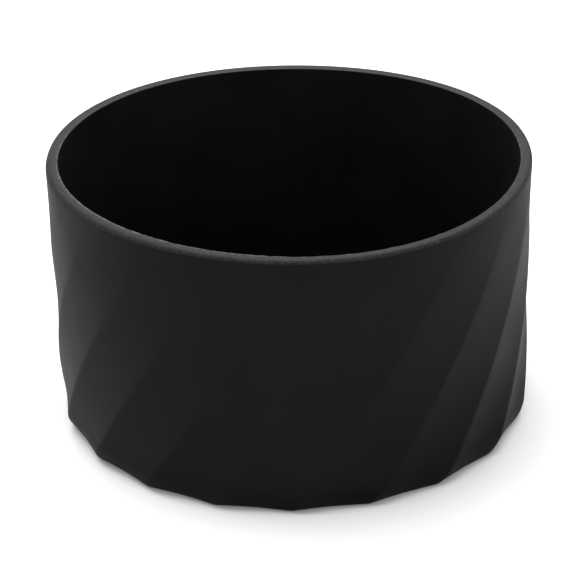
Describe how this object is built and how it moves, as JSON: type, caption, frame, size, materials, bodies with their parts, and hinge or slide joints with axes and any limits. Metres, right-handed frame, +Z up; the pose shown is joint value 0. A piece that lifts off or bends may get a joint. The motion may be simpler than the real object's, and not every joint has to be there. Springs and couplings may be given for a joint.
{
  "type": "silicone tumbler boot",
  "caption": "Round open-topped elastic boot with a twisted, scalloped outer wall, pushed onto the base of a drinks tumbler to cushion it.",
  "frame": {"origin": "centre of the footprint, on the surface that the boot stands on", "axes": "+Z up along the seat's axis, out of the mouth; -Y at the front, where a ridge foot stands"},
  "size_m": [0.08, 0.08, 0.046],
  "materials": {
    "silicone": "matte black moulded silicone, fine grain"
  },
  "bodies": {
    "root": {"boot": "silicone"}
  },
  "joints": []
}
